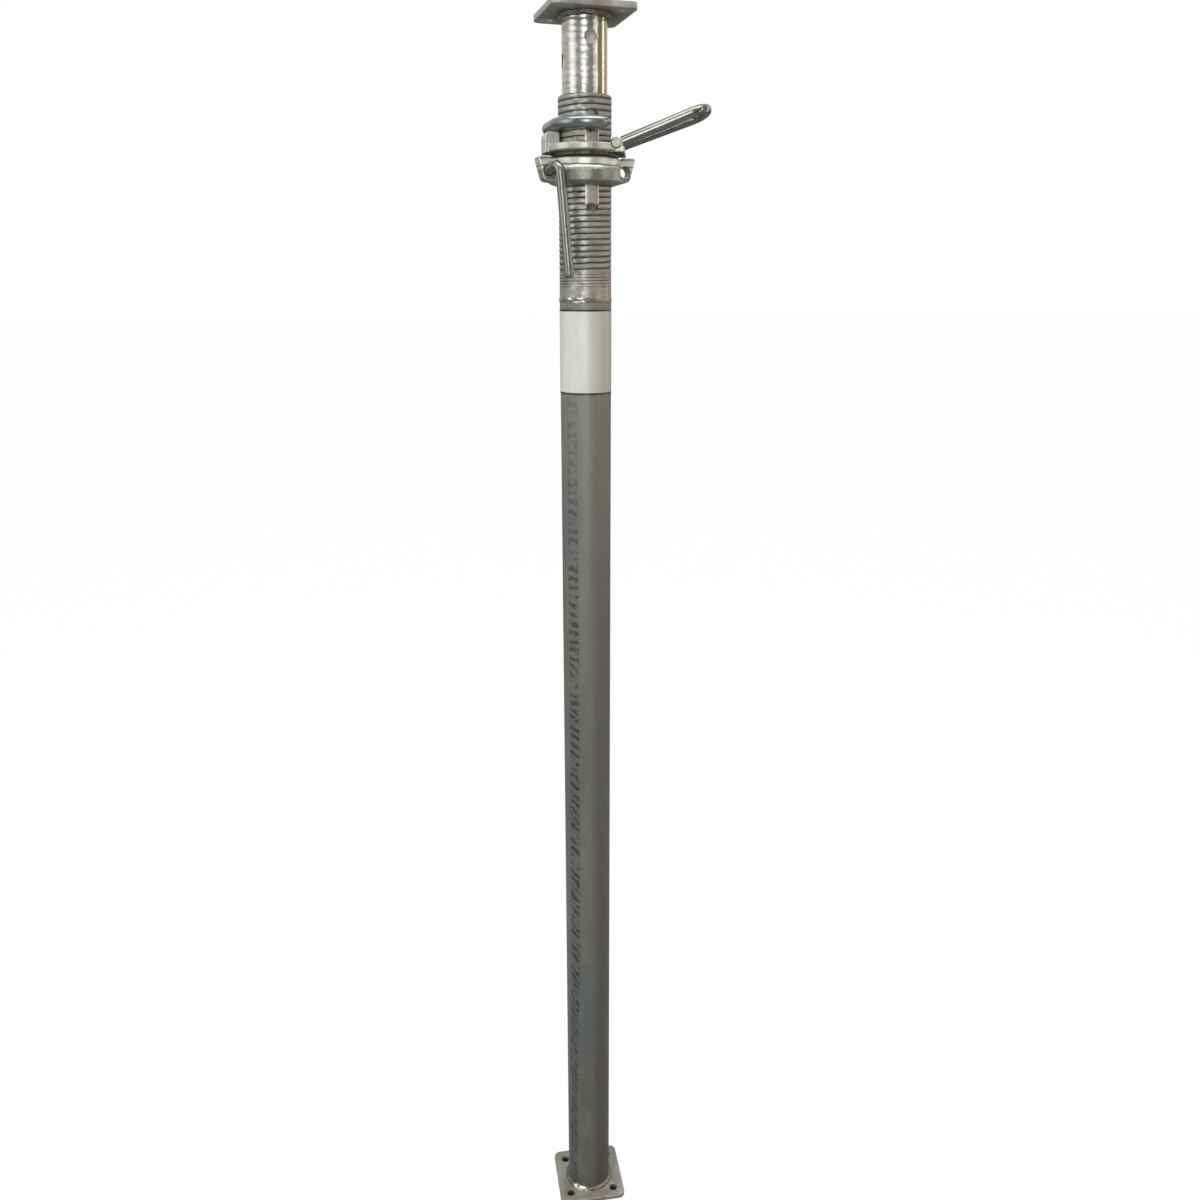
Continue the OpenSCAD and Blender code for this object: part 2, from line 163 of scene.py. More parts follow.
def soft_copy(node, name, width, segments=3):
    """A copy of a CAD node with its sharp edges rounded to width."""
    obj = copy_of(node, name)
    bevel = obj.modifiers.new("edges", "BEVEL")
    bevel.width = width
    bevel.segments = segments
    bevel.limit_method = "ANGLE"
    bevel.angle_limit = math.radians(40)
    bevel.use_clamp_overlap = True
    apply_modifiers(obj)
    shade(obj, 38)
    return obj


def cast_copy(node, name, voxel, rounds, pit):
    """A copy of a CAD node as a casting: worn edges, and a surface up to pit below the CAD's."""
    obj = copy_of(node, name)
    remesh = obj.modifiers.new("cast", "REMESH")
    remesh.mode = "VOXEL"
    remesh.voxel_size = voxel
    smooth = obj.modifiers.new("worn", "SMOOTH")
    smooth.factor = 0.5
    smooth.iterations = rounds
    apply_modifiers(obj)
    mesh = obj.data
    normals = [v.normal.copy() for v in mesh.vertices]
    for v, n in zip(mesh.vertices, normals):
        broad = noise.noise(v.co * 90)
        fine = noise.noise(v.co * 420 + Vector((7, 3, 1)))
        v.co -= n * pit * (0.5 + 0.3 * broad + 0.2 * fine)
    for polygon in mesh.polygons:
        polygon.use_smooth = True
    return obj


def arc(centre, start, axis, angle, steps):
    """Points of an arc about axis through centre, from start, without start itself."""
    arm = start - centre
    return [centre + Matrix.Rotation(angle * i / steps, 3, axis) @ arm for i in range(1, steps + 1)]


def bent_line(corners, radii, steps=14):
    """Points along corners, each inner corner rounded to its radius."""
    points = [corners[0]]
    for i, radius in enumerate(radii, 1):
        a = (corners[i] - corners[i - 1]).normalized()
        b = (corners[i + 1] - corners[i]).normalized()
        turn = a.angle(b)
        centre = corners[i] + (b - a).normalized() * radius / math.cos(turn / 2)
        start = corners[i] - a * radius * math.tan(turn / 2)
        points.append(start)
        points.extend(arc(centre, start, a.cross(b).normalized(), turn, steps))
    points.append(corners[-1])
    return points


def split_line(points):
    """The same line with points no further than ROD_STEP apart."""
    out = [points[0]]
    for a, b in zip(points, points[1:]):
        n = max(1, math.ceil((b - a).length / ROD_STEP))
        out.extend(a.lerp(b, i / n) for i in range(1, n + 1))
    return out


def stations_along(points):
    """(place, tangent, side, length so far) for each point; the side turns no more than the line does."""
    last = len(points) - 1
    tangents = [(points[min(last, i + 1)] - points[max(0, i - 1)]).normalized() for i in range(last + 1)]
    side = tangents[0].orthogonal().normalized()
    length = 0.0
    out = []
    for i, (p, t) in enumerate(zip(points, tangents)):
        if i:
            length += (p - points[i - 1]).length
            axis = tangents[i - 1].cross(t)
            if axis.length > 1e-9:
                side = Matrix.Rotation(tangents[i - 1].angle(t), 3, axis.normalized()) @ side
        side = (side - t * side.dot(t)).normalized()
        out.append((p, t, side.copy(), length))
    return out


def domed_end(station, length):
    """(place, tangent, side, share of the radius) for each ring of a rounded end.

    length is how far the end reaches along the tangent, and negative at the start of the line.
    """
    p, t, u, _ = station
    rings = []
    for k in range(1, DOME_STEPS + 1):
        f = k / DOME_STEPS * math.pi / 2
        share = 0.62 * math.cos(f) + 0.38 * (1 - k / DOME_STEPS) ** 0.5
        rings.append((p + t * length * (math.sin(f) - 1), t, u, share))
    return rings


def rod(name, points, radius, sides=40, round_ends=(0.0, 0.0), bumps=0.0, seed=0):
    """Round bar along points. round_ends gives the length over which each end is rounded off."""
    head, tail = round_ends
    stations = stations_along(split_line(points))
    total = stations[-1][3]
    rings = [(p, t, u, 1.0) for p, t, u, s in stations if s >= head and total - s >= tail]
    if head > 0:
        rings = domed_end(stations[0], -head)[::-1] + rings
    if tail > 0:
        rings += domed_end(stations[-1], tail)
    verts, faces = [], []
    for p, t, u, share in rings:
        w = t.cross(u)
        for k in range(sides):
            a = 2 * math.pi * k / sides
            direction = u * math.cos(a) + w * math.sin(a)
            wave = noise.noise((p + direction * radius * share) * 60 + Vector((seed, 0, 0)))
            verts.append(p + direction * (radius * share - bumps * (0.5 + 0.5 * wave)))
    for i in range(len(rings) - 1):
        low, high = i * sides, (i + 1) * sides
        for k in range(sides):
            m = (k + 1) % sides
            faces.append((low + k, high + k, high + m, low + m))
    last = (len(rings) - 1) * sides
    faces.append(tuple(range(sides)))
    faces.append(tuple(last + k for k in reversed(range(sides))))
    return add_piece(name, verts, faces, 50)


def ring_of(name, section, steps, level, wobble):
    """A closed ring with one section of (radius, height) points, each moved by wobble(angle, share)."""
    verts, faces = [], []
    count = len(section)
    for i in range(steps):
        a = 2 * math.pi * i / steps
        for k, (r, h) in enumerate(section):
            dr, dh = wobble(a, k / (count - 1))
            verts.append(Vector(((r + dr) * math.cos(a), (r + dr) * math.sin(a), level + h + dh)))
    for i in range(steps):
        j = (i + 1) % steps
        for k in range(count):
            m = (k + 1) % count
            faces.append((i * count + k, j * count + k, j * count + m, i * count + m))
    return add_piece(name, verts, faces, 60)


# ---------------------------------------------------------------- node helpers


class Graph:
    """Short calls for a material's or a world's nodes."""

    def __init__(self, tree):
        self.tree = tree
        self.links = tree.links

    def put(self, kind, **settings):
        node = self.tree.nodes.new(kind)
        for key, value in settings.items():
            setattr(node, key, value)
        return node

    def link(self, source, target):
        self.links.new(source, target)

    def feed(self, socket, value):
        if isinstance(value, bpy.types.NodeSocket):
            self.links.new(value, socket)
        else:
            socket.default_value = value

    def math(self, operation, a, b=0.0):
        node = self.put("ShaderNodeMath", operation=operation)
        self.feed(node.inputs[0], a)
        self.feed(node.inputs[1], b)
        return node.outputs[0]

    def plus(self, a, b):
        return self.math("ADD", a, b)

    def minus(self, a, b):
        return self.math("SUBTRACT", a, b)

    def times(self, a, b):
        return self.math("MULTIPLY", a, b)

    def over(self, a, b):
        return self.math("DIVIDE", a, b)

    def below(self, a, b):
        return self.math("LESS_THAN", a, b)

    def beyond(self, a, b):
        return self.math("GREATER_THAN", a, b)

    def magnitude(self, a):
        return self.math("ABSOLUTE", a)

    def gap(self, a, b):
        """How far a is from b, either way."""
        return self.magnitude(self.minus(a, b))

    def swing(self, share, width):
        """A share from 0 to 1 as a change of half of width either way."""
        return self.times(self.minus(share, 0.5), width)

    def split(self, vector):
        node = self.put("ShaderNodeSeparateXYZ")
        self.link(vector, node.inputs[0])
        return node.outputs

    def stretched(self, coordinates, scale, shift=(0, 0, 0)):
        node = self.put("ShaderNodeMapping")
        self.feed(node.inputs["Vector"], coordinates)
        node.inputs["Scale"].default_value = scale
        node.inputs["Location"].default_value = shift
        return node.outputs["Vector"]

    def noise(self, coordinates, scale, detail=4.0, rough=0.55, warp=0.0):
        node = self.put("ShaderNodeTexNoise")
        self.feed(node.inputs["Vector"], coordinates)
        node.inputs["Scale"].default_value = scale
        node.inputs["Detail"].default_value = detail
        node.inputs["Roughness"].default_value = rough
        node.inputs["Distortion"].default_value = warp
        return node.outputs["Fac"]

    def clouds(self, coordinates, stretch, detail, rough=0.55, warp=0.0, shift=(0, 0, 0)):
        """Noise whose lumps have their own size along each axis."""
        return self.noise(self.stretched(coordinates, stretch, shift), 1.0, detail, rough, warp)

    def cells(self, coordinates, scale):
        node = self.put("ShaderNodeTexVoronoi", feature="F1")
        self.feed(node.inputs["Vector"], coordinates)
        node.inputs["Scale"].default_value = scale
        return node.outputs["Distance"]

    def ramp(self, value, *stops, smooth=True):
        """stops are (place, grey or colour)."""
        node = self.put("ShaderNodeValToRGB")
        self.feed(node.inputs["Fac"], value)
        band = node.color_ramp
        band.interpolation = "EASE" if smooth else "LINEAR"
        while len(band.elements) < len(stops):
            band.elements.new(0.5)
        for element, (place, colour) in zip(band.elements, stops):
            element.position = place
            element.color = (*colour, 1) if isinstance(colour, tuple) else (colour,) * 3 + (1,)
        return node.outputs["Color"]

    def mix(self, share, a, b, kind="MIX"):
        node = self.put("ShaderNodeMix", data_type="RGBA", blend_type=kind)
        self.feed(node.inputs["Factor"], share)
        for socket, value in ((node.inputs[6], a), (node.inputs[7], b)):
            self.feed(socket, (*value, 1) if isinstance(value, tuple) and len(value) == 3 else value)
        return node.outputs[2]

    def shades(self, share, a, b, low=0.3, high=0.7):
        """Colour a where share is under low, b where it is over high."""
        return self.mix(self.ramp(share, (low, 0.0), (high, 1.0)), a, b)

    def bump(self, height, strength, distance, normal=None):
        node = self.put("ShaderNodeBump")
        self.feed(node.inputs["Height"], height)
        node.inputs["Strength"].default_value = strength
        node.inputs["Distance"].default_value = distance
        if normal is not None:
            self.feed(node.inputs["Normal"], normal)
        return node.outputs["Normal"]


def new_material(name):
    """A material, its graph, its Principled shader and its object coordinates."""
    material = bpy.data.materials.new(name)
    material.use_nodes = True
    material.node_tree.nodes.clear()
    g = Graph(material.node_tree)
    shader = g.put("ShaderNodeBsdfPrincipled")
    out = g.put("ShaderNodeOutputMaterial")
    g.link(shader.outputs["BSDF"], out.inputs["Surface"])
    place = g.put("ShaderNodeTexCoord").outputs["Object"]
    return material, g, shader, place


def around(g, place):
    """(angle about the prop's axis in turns from 0 to 1, height) as sockets."""
    parts = g.split(place)
    angle = g.math("ARCTAN2", parts["Y"], parts["X"])
    turns = g.plus(g.over(angle, 2 * math.pi), 0.5)
    return turns, parts["Z"]


def reach(g, place):
    """Distance from the prop's axis as a socket."""
    flat = g.put("ShaderNodeVectorMath", operation="MULTIPLY")
    g.link(place, flat.inputs[0])
    flat.inputs[1].default_value = (1, 1, 0)
    length = g.put("ShaderNodeVectorMath", operation="LENGTH")
    g.link(flat.outputs["Vector"], length.inputs[0])
    return length.outputs["Value"]


# ---------------------------------------------------------------- materials


def outer_zinc():
    """Dull grey hot-dip zinc: cloudy, darker and browner on one side in painted shade, with a strip of
    dark slanting run marks.
    """
    material, g, shader, place = new_material("tube_steel")
    turns, height = around(g, place)
    rise = g.ramp(g.over(height, TUBE_LOOKS_TOP), (0.0, 0.0), (1.0, 1.0), smooth=False)
    cloud = g.clouds(place, (9, 9, 3.2), 5, 0.6, 0.6)
    patch = g.clouds(place, (34, 34, 13), 4, 0.6, 0.3)
    base = g.shades(cloud, (0.112, 0.118, 0.110), (0.158, 0.164, 0.152))
    base = g.mix(g.ramp(patch, (0.42, 0.0), (0.66, 0.5)), base, (0.190, 0.193, 0.178))
    # painted shade: darker and browner to the right, away from the key lamp, with a ragged border
    ragged = g.plus(turns, g.swing(patch, 0.06))
    side = g.times(g.ramp(ragged, (0.22, 0.0), (0.30, 1.0)), g.ramp(turns, (0.52, 1.0), (0.66, 0.0)))
    base = g.mix(g.times(side, 0.8), base, (0.084, 0.075, 0.056))
    teal = g.ramp(g.clouds(place, (13, 13, 7), 3, shift=(1, 4, 2)), (0.50, 0.0), (0.66, 0.55))
    base = g.mix(g.times(teal, g.minus(1.0, side)), base, (0.112, 0.140, 0.128))
    spangle = g.cells(g.stretched(place, (240, 240, 150)), 1.0)
    tone = g.ramp(spangle, (0.0, 0.38), (0.9, 0.62))
    base = g.mix(0.16, base, tone, "OVERLAY")
    base = g.mix(g.times(rise, 0.42), base, (0.225, 0.225, 0.205))
    # dark run marks: flat near the top, steeper further down
    veer = g.ramp(height, (0.1, 0.040), (0.6, 0.0))
    across = g.times(g.plus(g.minus(turns, MARKS_AT), veer), 2 * math.pi * TUBE_R)
    wander = g.clouds(place, (5, 5, 6), 2)
    strip = g.plus(across, g.swing(wander, 6 * MM))
    inside = g.ramp(g.times(g.magnitude(strip), 100), (0.85, 1.0), (1.4, 0.0))
    slope = g.times(g.ramp(rise, (0.05, 1.0), (0.5, 0.30), (0.8, 0.06), smooth=False), 1.5)
    slope = g.plus(slope, g.swing(g.clouds(place, (2, 2, 17), 2), 1.2))
    slant = g.over(g.plus(height, g.times(across, slope)), 15 * MM)
    slant = g.plus(slant, g.times(g.clouds(place, (36, 36, 50), 3), 1.9))
    mark = g.ramp(g.math("FRACT", slant), (0.0, 0.0), (0.16, 1.0), (0.40, 0.9), (0.72, 0.0))
    broken = g.ramp(g.clouds(place, (60, 60, 62), 4, shift=(3, 2, 5)), (0.36, 0.0), (0.56, 1.0))
    mark = g.times(g.times(inside, mark), broken)
    deep = g.ramp(rise, (0.0, 1.0), (0.7, 0.85), (0.9, 0.35), smooth=False)
    base = g.mix(g.times(mark, deep), base, (0.026, 0.028, 0.025))
    # faint dark band under the marks, and a lighter foot
    base = g.mix(g.times(inside, 0.22), base, (0.075, 0.078, 0.072))
    foot = g.ramp(height, (0.012, 0.5), (0.06, 0.0))
    base = g.mix(foot, base, (0.135, 0.130, 0.106))
    hair = g.clouds(place, (520, 520, 14), 3, 0.7, 0.4)
    scratch = g.ramp(hair, (0.68, 0.0), (0.74, 1.0))
    base = g.mix(g.times(scratch, 0.22), base, (0.34, 0.34, 0.31))
    fleck = g.ramp(g.clouds(place, (210, 210, 150), 2), (0.74, 0.0), (0.8, 0.7))
    base = g.mix(fleck, base, (0.42, 0.41, 0.36))
    g.link(base, shader.inputs["Base Color"])
    shader.inputs["Metallic"].default_value = 0.55
    g.link(g.ramp(patch, (0.3, 0.46), (0.7, 0.6)), shader.inputs["Roughness"])
    normal = g.bump(g.noise(place, 900, 3, 0.6), 0.2, 0.0003)
    normal = g.bump(cloud, 0.3, 0.003, normal)
    normal = g.bump(mark, -0.5, 0.0007, normal)
    g.link(normal, shader.inputs["Normal"])
    return material


def inner_zinc():
    """Bright inner tube: ripples across it, a yellowish painted reflection on one side, and a dull bore
    painted pale as painted light, with the walls of its holes in painted shade.
    """
    material, g, shader, place = new_material("inner_steel")
    turns, height = around(g, place)
    cloud = g.clouds(place, (16, 16, 7), 4, 0.55, 0.5)
    base = g.shades(cloud, (0.40, 0.39, 0.36), (0.52, 0.51, 0.47))
    # blotches in rows, one for each ripple
    rows = g.clouds(place, (42, 42, 125), 3, 0.55, 0.5)
    base = g.mix(g.ramp(rows, (0.40, 0.45), (0.60, 0.0)), base, (0.27, 0.265, 0.235))
    streak = g.clouds(place, (80, 80, 5), 3, 0.6, 0.4)
    # painted reflection: a yellowish, in places reddish, tinge on one side of the tube
    reflection_tint = g.ramp(g.gap(turns, REFLECTION_TINT_AT), (0.055, 1.0), (0.095, 0.0))
    reflection_tint = g.times(reflection_tint, g.ramp(streak, (0.3, 0.55), (0.65, 1.0)))
    base = g.mix(reflection_tint, base, (0.33, 0.262, 0.158))
    red = g.ramp(g.clouds(place, (45, 45, 9), 3, shift=(3, 1, 0)), (0.50, 0.0), (0.66, 0.6))
    base = g.mix(g.times(red, reflection_tint), base, (0.34, 0.19, 0.13))
    spots = g.ramp(g.noise(place, 160, 4, 0.6), (0.6, 0.0), (0.72, 0.4))
    base = g.mix(spots, base, (0.22, 0.215, 0.19))
    # one even colour where the neck shelters it
    above = g.beyond(height, NECK_HI.z - 6 * MM)
    base = g.mix(above, (0.40, 0.392, 0.345), base)
    # painted light and shade: the bore painted pale so the inside of the holes reads as lit, and the
    # walls of the holes painted dark
    radius = reach(g, place)
    bore = g.below(radius, INNER_R - 0.8 * MM)
    base = g.mix(bore, base, (0.93, 0.90, 0.84))
    cut = g.times(bore, g.beyond(radius, INNER_R - 2.2 * MM))
    base = g.mix(cut, base, (0.10, 0.095, 0.085))
    g.link(base, shader.inputs["Base Color"])
    shine = g.plus(g.times(above, 0.5), 0.36)
    g.link(g.times(shine, g.minus(1.0, bore)), shader.inputs["Metallic"])
    rough = g.ramp(cloud, (0.3, 0.25), (0.7, 0.34))
    g.link(g.times(rough, g.minus(1.0, g.times(reflection_tint, 0.35))), shader.inputs["Roughness"])
    still = g.ramp(turns, (0.24, 1.0), (0.29, 0.15), (0.55, 0.15), (0.65, 1.0))
    lively = g.times(above, still)
    wave = g.put("ShaderNodeTexWave", wave_type="BANDS", bands_direction="Z")
    g.link(place, wave.inputs["Vector"])
    wave.inputs["Scale"].default_value = 39
    wave.inputs["Distortion"].default_value = 3.0
    wave.inputs["Detail"].default_value = 2
    wave.inputs["Detail Scale"].default_value = 0.8
    normal = g.bump(g.times(wave.outputs["Fac"], lively), 0.34, 0.0012)
    swell = g.clouds(place, (55, 55, 120), 3)
    normal = g.bump(g.times(swell, g.plus(g.times(lively, 0.8), 0.2)), 0.42, 0.0016, normal)
    normal = g.bump(g.noise(place, 700, 2), 0.1, 0.0003, normal)
    g.link(normal, shader.inputs["Normal"])
    return material


def thread_zinc():
    """Rolled thread: grey ribs with painted glints at the left and thin grooves in painted shade, painted
    shade making it darker and browner on the right, slot walls painted pale as if lit, and a bore in
    painted shade.
    """
    material, g, shader, place = new_material("thread_steel")
    turns, height = around(g, place)
    depth = g.over(g.minus(NECK_R, reach(g, place)), THREAD_DEPTH)
    cloud = g.clouds(place, (24, 24, 34), 5, 0.6, 0.4)
    base = g.shades(cloud, (0.135, 0.134, 0.115), (0.235, 0.232, 0.205))
    # painted shade: darker and browner towards the right
    brown_shade = g.ramp(g.gap(turns, BROWN_SHADE_AT), (0.04, 0.75), (0.17, 0.0))
    base = g.mix(brown_shade, base, (0.165, 0.130, 0.100))
    worn = g.plus(depth, g.swing(g.clouds(place, (90, 90, 160), 4), 0.5))
    base = g.mix(g.ramp(worn, (0.0, 0.4), (0.16, 0.0)), base, (0.36, 0.35, 0.31))
    glint = g.ramp(g.gap(turns, GLINT_AT), (0.02, 1.0), (0.07, 0.0))
    blotch = g.ramp(g.clouds(place, (75, 75, 110), 3, shift=(1, 2, 3)), (0.44, 0.0), (0.6, 0.65))
    glint = g.times(glint, blotch)
    base = g.mix(glint, base, (0.52, 0.51, 0.455))
    # painted shade: the grooves darkened nearly to black
    base = g.mix(g.ramp(depth, (0.22, 0.0), (0.6, 0.93)), base, (0.022, 0.021, 0.018))
    # painted light: the slot's side walls pale and less metallic, as if lit
    lit_slot_wall = g.below(g.gap(g.magnitude(g.split(place)["X"]), SLOT_HALF), 0.25 * MM)
    lit_slot_wall = g.times(lit_slot_wall, g.beyond(height, SLOT_FOOT + SLOT_HALF))
    lit_slot_wall = g.times(lit_slot_wall, g.below(height, SLOT_TOP - SLOT_HALF))
    base = g.mix(lit_slot_wall, base, (0.80, 0.78, 0.70))
    # painted shade inside the neck's bore
    bore = g.below(reach(g, place), NECK_BORE_R + 0.3 * MM)
    base = g.mix(g.times(bore, 0.9), base, (0.05, 0.048, 0.042))
    g.link(base, shader.inputs["Base Color"])
    g.link(g.minus(0.6, g.times(lit_slot_wall, 0.5)), shader.inputs["Metallic"])
    g.link(g.ramp(cloud, (0.3, 0.38), (0.7, 0.52)), shader.inputs["Roughness"])
    normal = g.bump(g.noise(place, 240, 4, 0.65), 0.4, 0.0007)
    g.link(normal, shader.inputs["Normal"])
    return material


def cast_zinc(name, dark, light, glow, light_shade_bands):
    """Galvanised casting: cloudy and pitted, pale on rubbed edges, with painted shade in the hollows and
    seams.

    The bands are (bottom, top, share, colour) of zones of painted light and shade between two heights;
    each border is ragged.
    """
    material, g, shader, place = new_material(name)
    cloud = g.clouds(place, (30, 30, 30), 5, 0.6, 0.5)
    base = g.shades(cloud, dark, light)
    rub = g.ramp(g.clouds(place, (70, 70, 130), 4, 0.6, 0.6), (0.55, 0.0), (0.7, 1.0))
    base = g.mix(g.times(rub, 0.35), base, glow)
    edge = g.put("ShaderNodeNewGeometry").outputs["Pointiness"]
    base = g.mix(g.ramp(edge, (0.51, 0.0), (0.55, 0.75)), base, glow)
    # painted shade: hollows and seams darkened nearly to black
    base = g.mix(g.ramp(edge, (0.44, 0.95), (0.492, 0.0)), base, (0.018, 0.018, 0.015))
    height = around(g, place)[1]
    ragged = g.minus(g.clouds(place, (55, 55, 20), 3), 0.5)
    ragged = g.plus(height, g.times(ragged, 3.2 * MM))
    for low, high, share, colour in light_shade_bands:
        middle, half = (low + high) / 2, (high - low) / 2
        off = g.over(g.gap(ragged, middle), half)
        base = g.mix(g.ramp(off, (0.75, share), (1.0, 0.0)), base, colour)
    pits = g.cells(place, 210)
    pit = g.ramp(pits, (0.0, 1.0), (0.16, 0.0))
    base = g.mix(g.times(pit, 0.35), base, (0.05, 0.05, 0.044))
    g.link(base, shader.inputs["Base Color"])
    shader.inputs["Metallic"].default_value = 0.62
    g.link(g.ramp(cloud, (0.3, 0.34), (0.7, 0.5)), shader.inputs["Roughness"])
    normal = g.bump(g.noise(place, 230, 5, 0.65), 0.45, 0.0009)
    normal = g.bump(pit, -0.35, 0.0006, normal)
    g.link(normal, shader.inputs["Normal"])
    return material


def rod_zinc(name, dark, light, polish, grain, fine=0.10):
    """Smooth zinc-plated rod: soft sheen, faint drawn lines and small dull patches."""
    material, g, shader, place = new_material(name)
    cloud = g.clouds(place, (22, 22, 22), 4, 0.55, 0.4)
    base = g.shades(cloud, dark, light)
    dull = g.ramp(g.noise(place, 130, 4, 0.6), (0.56, 0.0), (0.7, 0.4))
    base = g.mix(dull, base, tuple(c * 0.55 for c in dark))
    g.link(base, shader.inputs["Base Color"])
    shader.inputs["Metallic"].default_value = 0.9
    g.link(g.ramp(cloud, (0.3, polish), (0.7, polish + 0.08)), shader.inputs["Roughness"])
    normal = g.bump(g.noise(place, 420, 3), fine, 0.0003)
    normal = g.bump(g.noise(place, 60, 2), grain, 0.002, normal)
    g.link(normal, shader.inputs["Normal"])
    return material


def plate_zinc(name, dark, light, dirty, axis_shade=0.0):
    """Plate steel under zinc: beige-grey clouds, spangle, darker dirt, pale rubbed corners and painted
    shade towards the axis.
    """
    material, g, shader, place = new_material(name)
    cloud = g.clouds(place, (26, 26, 26), 5, 0.6, 0.8)
    base = g.shades(cloud, dark, light)
    spangle = g.cells(place, 130)
    base = g.mix(0.16, base, g.ramp(spangle, (0.0, 0.35), (0.9, 0.65)), "OVERLAY")
    dirt = g.ramp(g.clouds(place, (60, 60, 60), 5, 0.65, shift=(2, 5, 1)), (0.55, 0.0), (0.75, dirty))
    base = g.mix(dirt, base, (0.07, 0.066, 0.052))
    # painted shade: darker towards the axis, round the tube under the head plate
    near = g.ramp(g.times(reach(g, place), 10), (0.36, axis_shade), (0.66, 0.0))
    base = g.mix(near, base, (0.035, 0.034, 0.026))
    edge = g.put("ShaderNodeNewGeometry").outputs["Pointiness"]
    base = g.mix(g.ramp(edge, (0.52, 0.0), (0.6, 0.7)), base, (0.46, 0.45, 0.41))
    g.link(base, shader.inputs["Base Color"])
    shader.inputs["Metallic"].default_value = 0.5
    g.link(g.ramp(cloud, (0.3, 0.38), (0.7, 0.55)), shader.inputs["Roughness"])
    normal = g.bump(g.noise(place, 330, 4, 0.6), 0.3, 0.0006)
    normal = g.bump(cloud, 0.3, 0.002, normal)
    g.link(normal, shader.inputs["Normal"])
    return material


def weld_zinc(name, dark, light, rough):
    """Weld bead under zinc: soft lumps with dull hollows between them."""
    material, g, shader, place = new_material(name)
    lumps = g.clouds(place, (70, 70, 190), 4, 0.55, 0.3)
    base = g.shades(lumps, dark, light, 0.40, 0.66)
    g.link(base, shader.inputs["Base Color"])
    shader.inputs["Metallic"].default_value = 0.6
    g.link(g.ramp(lumps, (0.4, rough + 0.15), (0.65, rough)), shader.inputs["Roughness"])
    g.link(g.bump(lumps, 0.3, 0.001), shader.inputs["Normal"])
    return material


def stand_weld():
    """The stand's beads: grey, with painted glints on the ripples at the left front, and painted warm
    light making them yellower on the right.
    """
    material, g, shader, place = new_material("weld")
    turns = around(g, place)[0]
    lumps = g.clouds(place, (60, 60, 150), 4, 0.55, 0.5)
    base = g.shades(lumps, (0.115, 0.112, 0.092), (0.20, 0.195, 0.165), 0.40, 0.66)
    # painted warm light: yellower on the right
    right = g.ramp(turns, (0.26, 0.0), (0.34, 0.75), (0.48, 0.75), (0.6, 0.0))
    base = g.mix(right, base, (0.20, 0.185, 0.115))
    # painted glints: bright ripples at the left front
    painted_glint = g.ramp(g.gap(turns, WELD_GLINT_AT), (0.035, 1.0), (0.085, 0.0))
    painted_glint = g.times(painted_glint, g.ramp(lumps, (0.42, 0.0), (0.58, 1.0)))
    base = g.mix(painted_glint, base, (0.80, 0.78, 0.70))
    g.link(base, shader.inputs["Base Color"])
    shader.inputs["Metallic"].default_value = 0.5
    g.link(g.ramp(lumps, (0.4, 0.5), (0.65, 0.36)), shader.inputs["Roughness"])
    g.link(g.bump(lumps, 0.4, 0.0014), shader.inputs["Normal"])
    return material


def label_film():
    """Blank pale film label with a thin dark line along its top and bottom edge, slightly creased, and
    darker towards the right in painted shade.
    """
    material, g, shader, place = new_material("label")
    turns, height = around(g, place)
    low = g.minus(height, LABEL_LO.z)
    high = g.minus(LABEL_HI.z, height)
    edge = g.math("MINIMUM", low, high)
    wear = g.clouds(place, (40, 40, 10), 4)
    base = g.shades(wear, (0.445, 0.437, 0.415), (0.52, 0.512, 0.495), 0.35, 0.7)
    # painted shade: darker towards the right
    side = g.ramp(turns, (0.17, 0.0), (0.34, 0.85), (0.60, 0.85), (0.90, 0.0))
    base = g.mix(side, base, (0.26, 0.252, 0.218))
    rosy = g.ramp(turns, (0.33, 0.0), (0.43, 0.6), (0.55, 0.5), (0.70, 0.0))
    base = g.mix(rosy, base, (0.36, 0.285, 0.235))
    line = g.below(edge, 2.9 * MM)
    base = g.mix(line, base, (0.005, 0.004, 0.020))
    smudge = g.ramp(g.noise(place, 95, 5, 0.65), (0.6, 0.0), (0.75, 0.22))
    base = g.mix(smudge, base, (0.30, 0.28, 0.25))
    g.link(base, shader.inputs["Base Color"])
    g.link(g.ramp(wear, (0.3, 0.4), (0.7, 0.55)), shader.inputs["Roughness"])
    shader.inputs["Coat Weight"].default_value = 0.15
    shader.inputs["Coat Roughness"].default_value = 0.35
    normal = g.bump(g.clouds(place, (90, 90, 12), 3), 0.25, 0.0015)
    g.link(normal, shader.inputs["Normal"])
    return material


# painted shade, with grease, round the foot of the ring where it meets the hub
RING_SHADE_BANDS = ((RING_LO.z - 2 * MM, RING_LO.z + 6.9 * MM, 0.93, (0.030, 0.029, 0.024)),)
# painted highlights on the nut collar's two upper steps, with a line of painted shade between them
NUT_GLINT_SHADE_BANDS = (
    (NUT_HI.z - 12 * MM, NUT_HI.z - 4 * MM, 0.8, (0.55, 0.55, 0.485)),
    (NUT_HI.z - 17 * MM, NUT_HI.z - 13.4 * MM, 0.8, (0.52, 0.51, 0.45)),
    (NUT_HI.z - 13.2 * MM, NUT_HI.z - 12.2 * MM, 0.8, (0.05, 0.05, 0.042)),
)
RING_TONES = (0.30, 0.297, 0.248), (0.46, 0.455, 0.388), (0.72, 0.705, 0.62)
NUT_TONES = (0.155, 0.16, 0.14), (0.25, 0.255, 0.228), (0.52, 0.51, 0.46)

